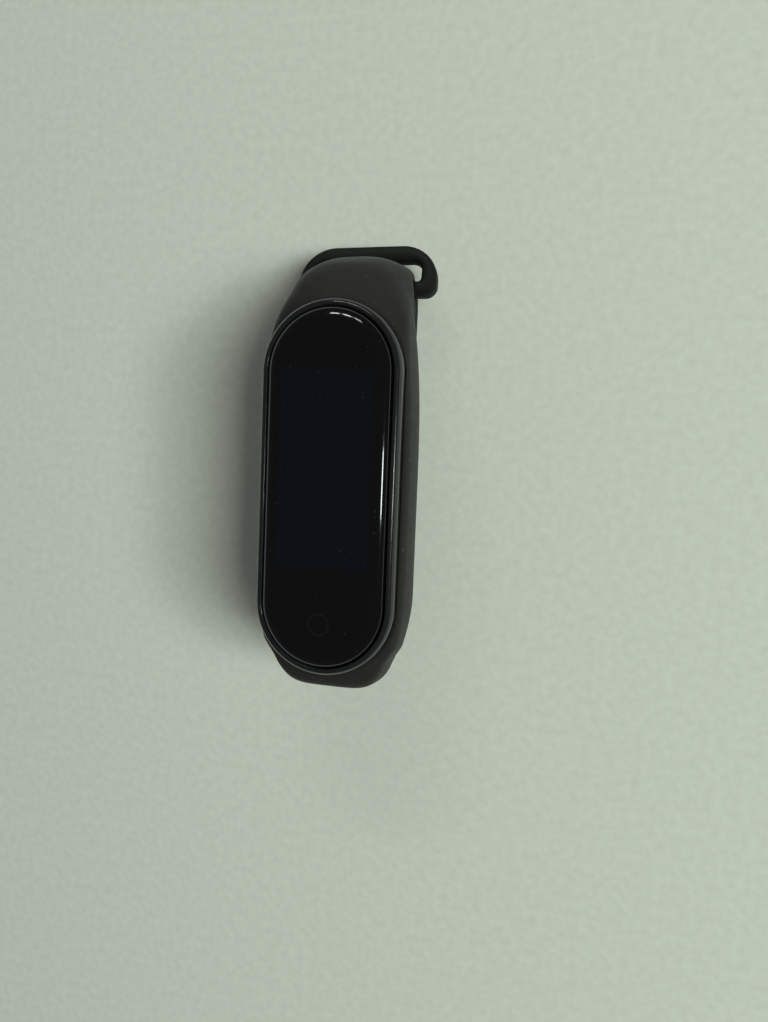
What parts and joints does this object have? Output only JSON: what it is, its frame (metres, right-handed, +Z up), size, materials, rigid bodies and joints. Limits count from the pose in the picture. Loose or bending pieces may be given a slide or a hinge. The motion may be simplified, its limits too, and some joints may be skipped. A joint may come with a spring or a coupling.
{
  "type": "fitness tracker band",
  "caption": "Wrist-worn activity tracker: a pill-shaped glass-topped capsule snapped into a soft strap closed by a loop and stud.",
  "frame": {"origin": "on the flat outer face of the closed strap, straight below the middle of the capsule, where the band stands", "axes": "+X across the band, +Y to the top of the screen along the band, +Z up out of the screen"},
  "size_m": [0.0202, 0.0599, 0.0225],
  "materials": {
    "strap_rubber": "matte",
    "loop_rubber": "satin",
    "shell_plastic": "gloss",
    "black_glass": "polished",
    "screen": "gloss",
    "stud_steel": "brushed",
    "lens_glass": "polished",
    "gold_contact": "polished",
    "tape": "matte",
    "flex": "satin",
    "circuit_board": "satin",
    "chip": "matte",
    "led": "gloss",
    "pouch": "satin",
    "frame_plastic": "matte",
    "steel": "brushed"
  },
  "bodies": {
    "strap": {"strap_body": "strap_rubber", "strap_loop": "loop_rubber", "clasp_stud": "stud_steel", "stud_plate": "stud_steel"},
    "capsule": {"capsule_shell": "shell_plastic", "cover_glass": "black_glass", "display_adhesive": "tape", "sensor_lens": "lens_glass", "charge_contacts": "gold_contact", "contact_springs": "gold_contact", "sensor_board": "circuit_board", "sensor_leds": "led", "photodiodes": "chip", "battery_cell": "pouch", "battery_pad": "tape", "battery_flex": "flex", "inner_frame": "frame_plastic", "main_board": "circuit_board", "board_screws": "steel", "processor_chip": "chip", "motion_sensor": "chip", "shield_can": "steel", "antenna": "gold_contact", "display_panel": "screen", "display_flex": "flex", "motor_case": "steel", "motor_cap": "steel", "motor_shaft": "steel"},
    "motor_weight": {"motor_rotor": "steel"},
    "tail_middle": {"tail_link": "strap_rubber"},
    "tail_end": {"tail_tip": "strap_rubber"}
  },
  "joints": [
    {"name": "capsule_release", "type": "slide", "parent": "strap", "child": "capsule", "axis": [0, 0, 1], "range_m": [0, 0.015]},
    {"name": "motor_spin", "type": "hinge", "parent": "capsule", "child": "motor_weight", "pos_m": [0, -0.0148, 0.0147], "axis": [0, 0, 1], "continuous": true},
    {"name": "tail_peel", "type": "hinge", "parent": "strap", "child": "tail_middle", "pos_m": [0, 0.0136, 0], "axis": [1, 0, 0], "range_deg": [0, 70]},
    {"name": "tip_curl", "type": "hinge", "parent": "tail_middle", "child": "tail_end", "pos_m": [0, -0.0068, 0], "axis": [1, 0, 0], "range_deg": [0, 35]}
  ],
  "couplings": [
    {"joint": "tip_curl", "follows": "tail_peel", "ratio": 0.5}
  ]
}
